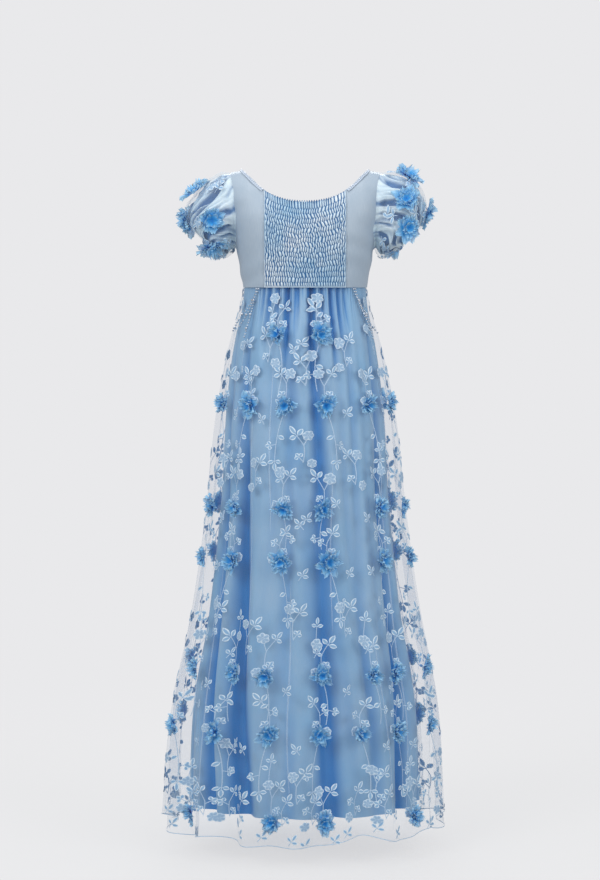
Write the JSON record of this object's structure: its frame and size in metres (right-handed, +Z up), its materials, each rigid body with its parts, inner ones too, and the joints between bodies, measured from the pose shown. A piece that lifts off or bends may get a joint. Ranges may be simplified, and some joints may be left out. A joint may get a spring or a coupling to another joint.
{
  "type": "regency gown",
  "caption": "Empire-waist gown with short puff sleeves, shirred back, satin skirt and longer embroidered net skirt with raised fabric flowers, in its worn hollow form.",
  "frame": {"origin": "where the wearer's shoulders hold the gown up: the middle of the line between the crests of the two shoulders", "axes": "+Z up, -Y the gown's front, +Y its back, +X the wearer's left"},
  "size_m": [0.6065, 0.5066, 1.4015],
  "materials": {
    "satin_bodice": "matt-faced satin, grey blue",
    "satin_shirred": "satin shirred on elastic thread",
    "satin_skirt": "soft satin, sky blue",
    "satin_sleeve": "satin puff under net",
    "net": "sheer net with embroidered vines and raised fabric flowers",
    "binding": "narrow satin binding with a beaded edge"
  },
  "bodies": {
    "root": {"bodice_front": "satin_bodice", "bodice_side_back_left": "satin_bodice", "bodice_side_back_right": "satin_bodice", "bodice_back_shirred": "satin_shirred", "neck_binding": "binding", "skirt_satin_back": "satin_skirt", "skirt_satin_front": "satin_skirt", "skirt_net_back": "net", "skirt_net_front": "net", "sleeve_satin_left": "satin_sleeve", "sleeve_satin_right": "satin_sleeve", "sleeve_net_left": "net", "sleeve_net_right": "net"}
  },
  "joints": []
}
